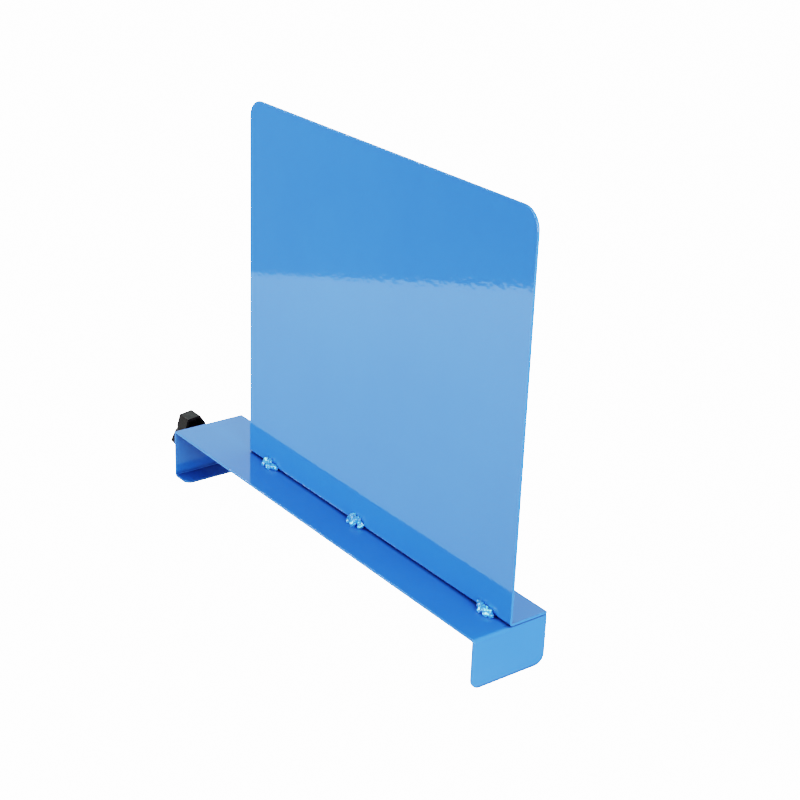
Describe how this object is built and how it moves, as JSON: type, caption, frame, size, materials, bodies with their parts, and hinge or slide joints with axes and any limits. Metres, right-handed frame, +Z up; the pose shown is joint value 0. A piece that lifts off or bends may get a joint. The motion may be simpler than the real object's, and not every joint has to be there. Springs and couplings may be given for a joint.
{
  "type": "clamp-on shield",
  "caption": "Upright sheet-steel screen welded on a folded bracket that hooks over a shelf or tray and is clamped there by a lobed hand knob.",
  "frame": {"origin": "middle of the bracket's underside, the face that lies on the shelf", "axes": "+X along the bracket from the knob's end to the plain end, +Y from the front ledge to the folded foot, +Z up the panel"},
  "size_m": [0.442, 0.0681, 0.341],
  "materials": {
    "blue_powder_coat": "glossy powder coat on sheet steel",
    "zinc_plated_steel": "bright zinc plate",
    "black_knob_plastic": "satin moulded plastic",
    "black_pad_plastic": "matte moulded plastic"
  },
  "bodies": {
    "welded_frame": {"base_bracket": "blue_powder_coat", "upright_panel": "blue_powder_coat", "front_tack_weld_left": "blue_powder_coat", "front_tack_weld_middle": "blue_powder_coat", "front_tack_weld_right": "blue_powder_coat", "rear_tack_weld_left": "blue_powder_coat", "rear_tack_weld_right": "blue_powder_coat", "weld_nut": "blue_powder_coat"},
    "pad": {"thrust_pad": "black_pad_plastic"},
    "screw": {"clamp_stud": "zinc_plated_steel", "knob_grip": "black_knob_plastic"}
  },
  "joints": [
    {"name": "pad_slide", "type": "slide", "parent": "welded_frame", "child": "pad", "axis": [1, 0, 0], "range_m": [-0.0019, 0.01502]},
    {"name": "knob_turn", "type": "hinge", "parent": "pad", "child": "screw", "pos_m": [-0.2185, 0, -0.018], "axis": [1, 0, 0], "range_deg": [-540, 4320]}
  ],
  "couplings": [
    {"joint": "pad_slide", "follows": "knob_turn", "m_per_rad": 0.00019894}
  ]
}
